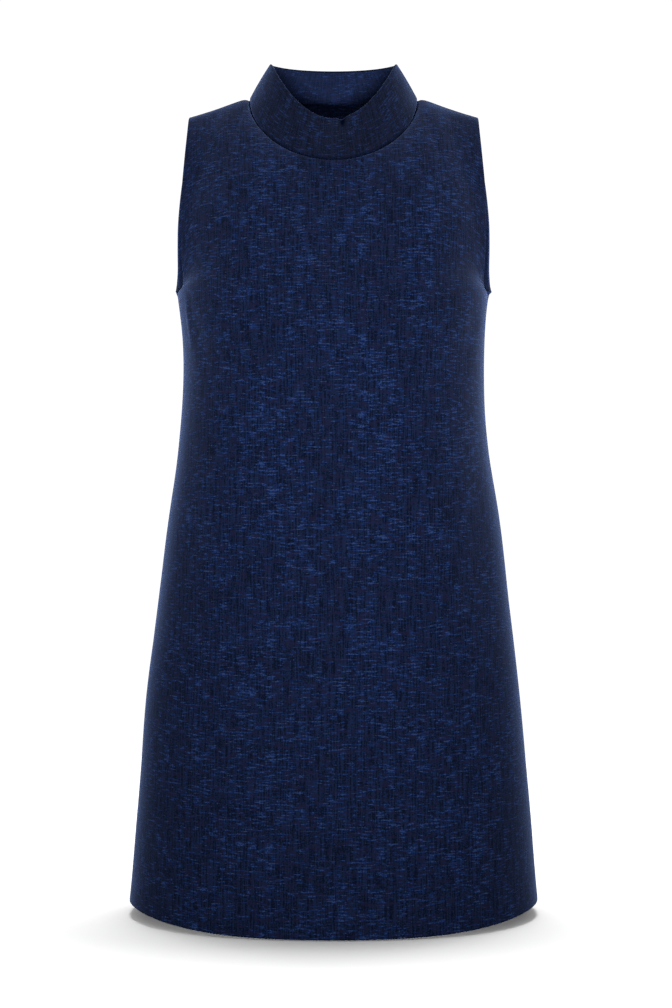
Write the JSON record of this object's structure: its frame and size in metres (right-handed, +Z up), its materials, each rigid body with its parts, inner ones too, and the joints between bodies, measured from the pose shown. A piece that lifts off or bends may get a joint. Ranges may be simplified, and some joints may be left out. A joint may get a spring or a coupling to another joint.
{
  "type": "shift dress",
  "caption": "Sleeveless A-line shift dress in slubbed knit with a high folded funnel collar, standing hollow as worn.",
  "frame": {"origin": "centre of the neck opening, level with the side neck points, where the wearer's neck and shoulders hold the dress", "axes": "+Z up along the wearer's neck, -Y towards the dress's front, +X towards the wearer's left"},
  "size_m": [0.4274, 0.2814, 0.8908],
  "materials": {
    "front_panel": "matt slubbed knit, near-black navy with blue flecks",
    "back_panel": "matt slubbed knit, near-black navy with blue flecks",
    "collar": "the same knit folded double, its ribs running up the band"
  },
  "bodies": {
    "root": {"front_panel": "front_panel", "back_panel": "back_panel", "collar": "collar"}
  },
  "joints": []
}
